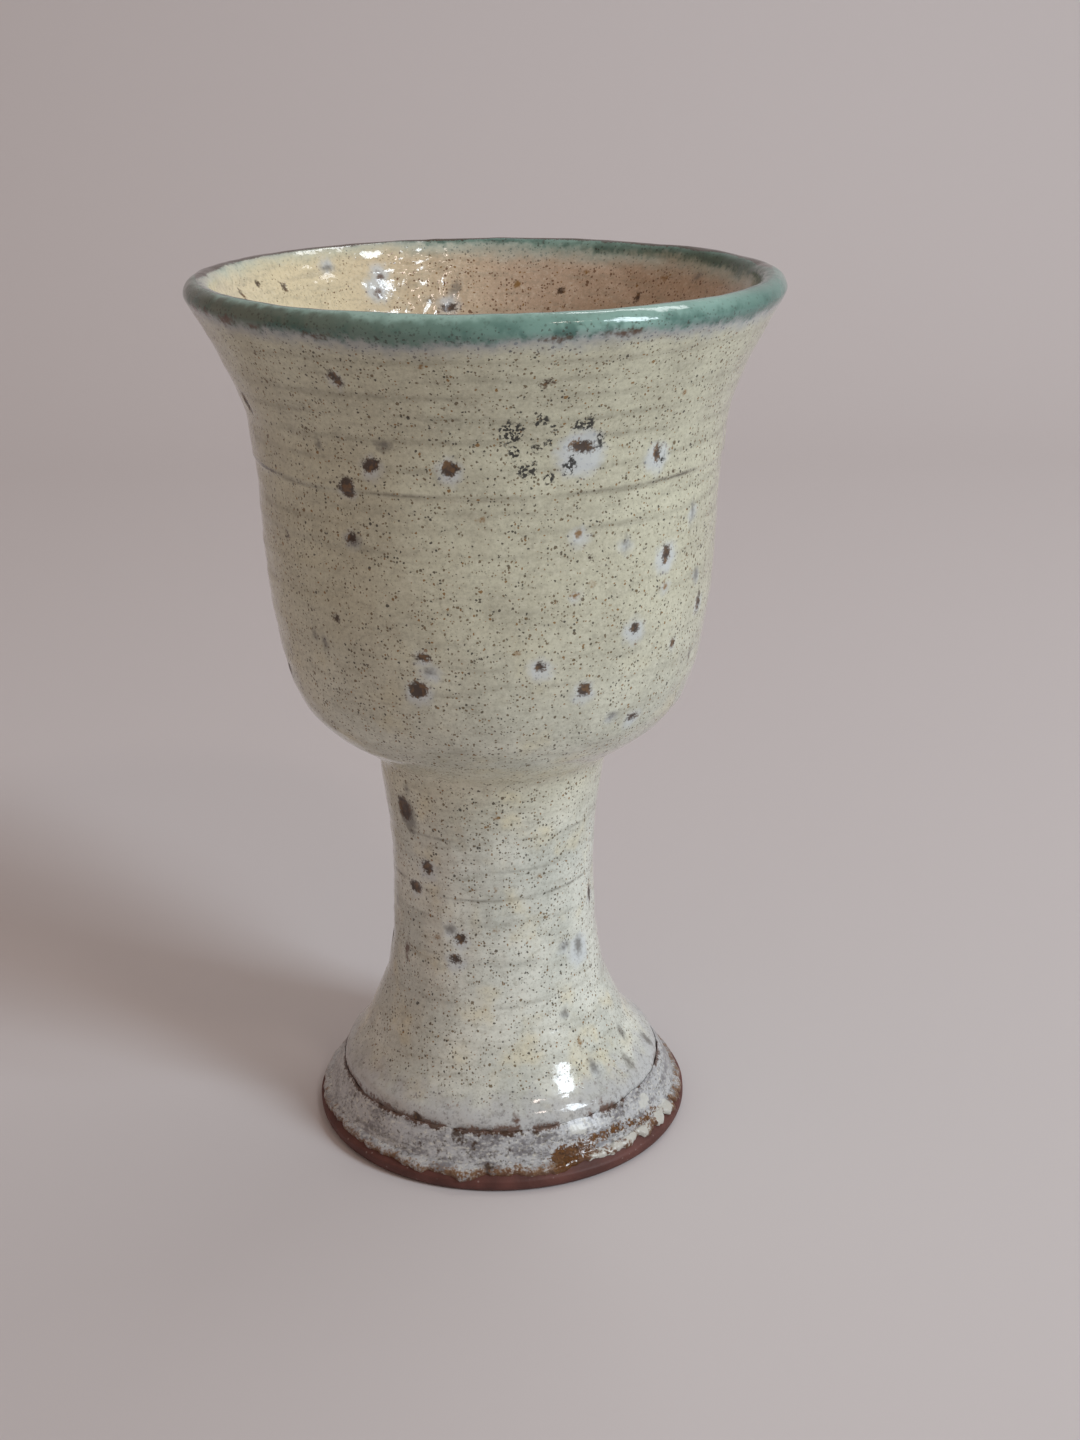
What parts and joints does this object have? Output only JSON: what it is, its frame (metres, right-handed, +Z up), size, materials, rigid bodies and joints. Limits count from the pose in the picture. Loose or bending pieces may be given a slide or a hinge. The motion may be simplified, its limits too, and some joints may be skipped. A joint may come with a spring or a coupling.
{
  "type": "pottery goblet",
  "caption": "Wheel-thrown stoneware goblet with a flared speckled cream bowl, green glazed lip, hollow stem and bare clay foot ring, for drinking.",
  "frame": {"origin": "on the goblet's axis, in the plane that the foot ring stands on", "axes": "+Z up along the goblet's axis, towards the mouth; -Y towards the viewer of the picture, +X to the viewer's right"},
  "size_m": [0.102, 0.102, 0.1601],
  "materials": {
    "fired_stoneware": "bare fired clay, matte",
    "fired_slip": "bare fired slip, matte",
    "cream_glaze": "satin glaze with fine iron speckle",
    "liner_glaze": "glossy glaze with iron speckle",
    "green_glaze": "glossy copper green glaze",
    "skirt_glaze": "thick crawled glaze, amber where it is thin"
  },
  "bodies": {
    "root": {"bowl_body": "fired_stoneware", "stem_body": "fired_stoneware", "slip_joint": "fired_slip", "bowl_glaze": "cream_glaze", "liner_glaze": "liner_glaze", "lip_glaze": "green_glaze", "stem_glaze": "cream_glaze", "foot_glaze": "skirt_glaze"}
  },
  "joints": []
}
